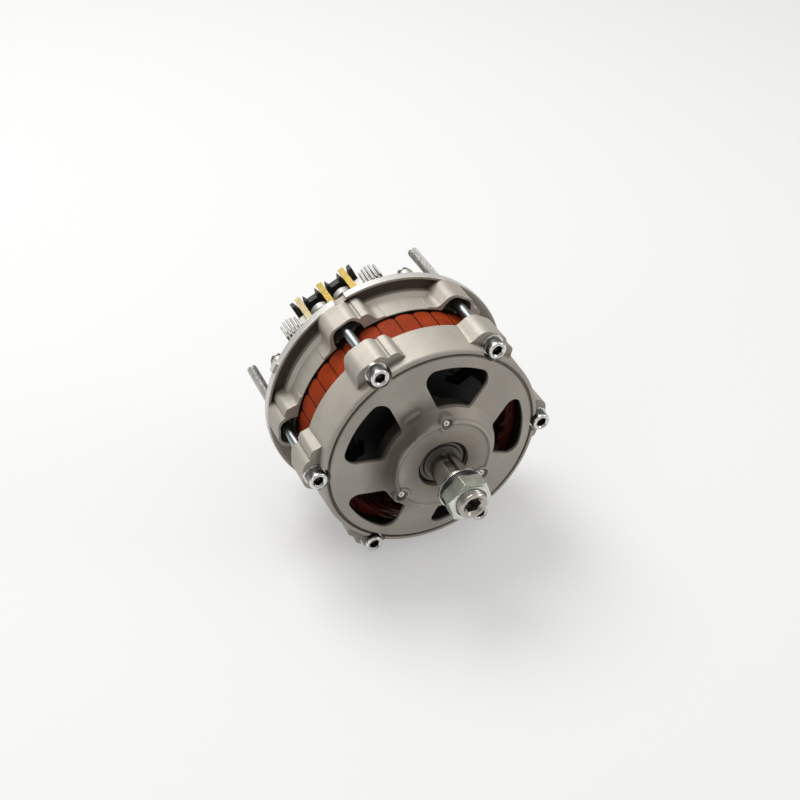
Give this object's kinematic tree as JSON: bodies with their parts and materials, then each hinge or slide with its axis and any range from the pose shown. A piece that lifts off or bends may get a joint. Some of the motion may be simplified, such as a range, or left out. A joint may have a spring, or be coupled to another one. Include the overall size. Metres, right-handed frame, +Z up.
{
  "type": "alternator",
  "caption": "Flange-mounted alternator with an exposed stator, through bolts with rear studs, windowed drive-end housing, keyed threaded shaft and open rectifier.",
  "frame": {"origin": "on the shaft axis, in the plane of the flange's rear mounting face", "axes": "the shaft axis runs along Y with the drive end towards -Y, +Z is up, +X is to the right as seen from the drive end"},
  "size_m": [0.1424, 0.1509, 0.1424],
  "materials": {
    "casting": "sand-cast light alloy, satin",
    "stator_red": "insulating varnish, satin",
    "winding_red": "dark red impregnating varnish on enamelled copper",
    "slot_liner": "slot paper",
    "zinc": "bright zinc plating",
    "nut_zinc": "greenish zinc plating",
    "steel": "turned",
    "dark_spring_steel": "blackened",
    "bearing_steel": "ground",
    "bearing_seal": "matt",
    "cage": "moulded",
    "pole_iron": "forged, dark",
    "coil_varnish": "varnished coil",
    "bobbin": "moulded",
    "ring_copper": "turned copper alloy",
    "black_moulding": "moulded, black",
    "carbon": "carbon, matt",
    "heat_sink": "cast, dull",
    "diode_can": "nickel plated",
    "lead_brass": "tinned brass, yellow",
    "grommet_rubber": "matt",
    "capacitor_can": "drawn can"
  },
  "bodies": {
    "frame": {"drive_end_housing": "casting", "slip_ring_end_housing": "casting", "stator_core": "stator_red", "front_end_windings": "winding_red", "rear_end_windings": "winding_red", "slot_windings": "winding_red", "slot_liners": "slot_liner", "through_bolts": "zinc", "cover_stud_bolts": "zinc", "through_bolt_washers": "zinc", "bearing_retainer_plate": "steel", "bearing_retainer_screws": "zinc", "front_bearing_outer_ring": "bearing_steel", "front_bearing_seals": "bearing_seal", "rear_bearing_outer_ring": "bearing_steel", "rear_bearing_seals": "bearing_seal", "brush_spring_front": "steel", "brush_spring_rear": "steel", "brush_holder": "black_moulding", "regulator_housing": "heat_sink", "regulator_spacers": "zinc", "regulator_screws": "zinc", "negative_heat_sink": "heat_sink", "positive_heat_sink": "heat_sink", "negative_diodes": "diode_can", "positive_diodes": "diode_can", "terminal_carrier": "black_moulding", "phase_leads": "lead_brass", "phase_lead_grommet": "grommet_rubber", "rectifier_insulators": "black_moulding", "rectifier_screws": "zinc", "rectifier_ear_screws": "zinc", "rectifier_ear_bushes": "black_moulding", "output_stud": "zinc", "output_stud_nut": "zinc", "speed_signal_blade": "lead_brass", "field_terminal": "zinc", "suppression_capacitor": "capacitor_can", "capacitor_clamp": "steel", "capacitor_screw": "zinc"},
    "rotor": {"rotor_shaft": "steel", "shaft_thrust_collar": "steel", "shaft_plain_washer": "zinc", "shaft_spring_washer": "dark_spring_steel", "shaft_nut": "nut_zinc", "front_claw_pole": "pole_iron", "rear_claw_pole": "pole_iron", "coil_bobbin": "bobbin", "field_coil": "coil_varnish", "slip_ring_insulator": "black_moulding", "slip_rings": "ring_copper", "front_bearing_inner_ring": "bearing_steel", "rear_bearing_inner_ring": "bearing_steel"},
    "front_ball_set": {"front_bearing_balls": "bearing_steel", "front_bearing_cage": "cage"},
    "rear_ball_set": {"rear_bearing_balls": "bearing_steel", "rear_bearing_cage": "cage"},
    "front_brush": {"brush_front": "carbon"},
    "rear_brush": {"brush_rear": "carbon"}
  },
  "joints": [
    {"name": "rotor_spin", "type": "hinge", "parent": "frame", "child": "rotor", "pos_m": [0, -0.0305, 0], "axis": [0, 1, 0], "continuous": true},
    {"name": "front_ball_set_spin", "type": "hinge", "parent": "frame", "child": "front_ball_set", "pos_m": [0, -0.0659, 0], "axis": [0, 1, 0], "continuous": true},
    {"name": "rear_ball_set_spin", "type": "hinge", "parent": "frame", "child": "rear_ball_set", "pos_m": [0, -0.0035, 0], "axis": [0, 1, 0], "continuous": true},
    {"name": "front_brush_slide", "type": "slide", "parent": "frame", "child": "front_brush", "axis": [0, 0, -1], "range_m": [0, 0.003], "stiffness_N_per_m": 120, "springref_m": -0.02, "deforming": ["brush_spring_front"]},
    {"name": "rear_brush_slide", "type": "slide", "parent": "frame", "child": "rear_brush", "axis": [0, 0, -1], "range_m": [0, 0.003], "stiffness_N_per_m": 120, "springref_m": -0.02, "deforming": ["brush_spring_rear"]}
  ],
  "couplings": [
    {"joint": "front_ball_set_spin", "follows": "rotor_spin", "ratio": 0.38158},
    {"joint": "rear_ball_set_spin", "follows": "rotor_spin", "ratio": 0.36477}
  ]
}
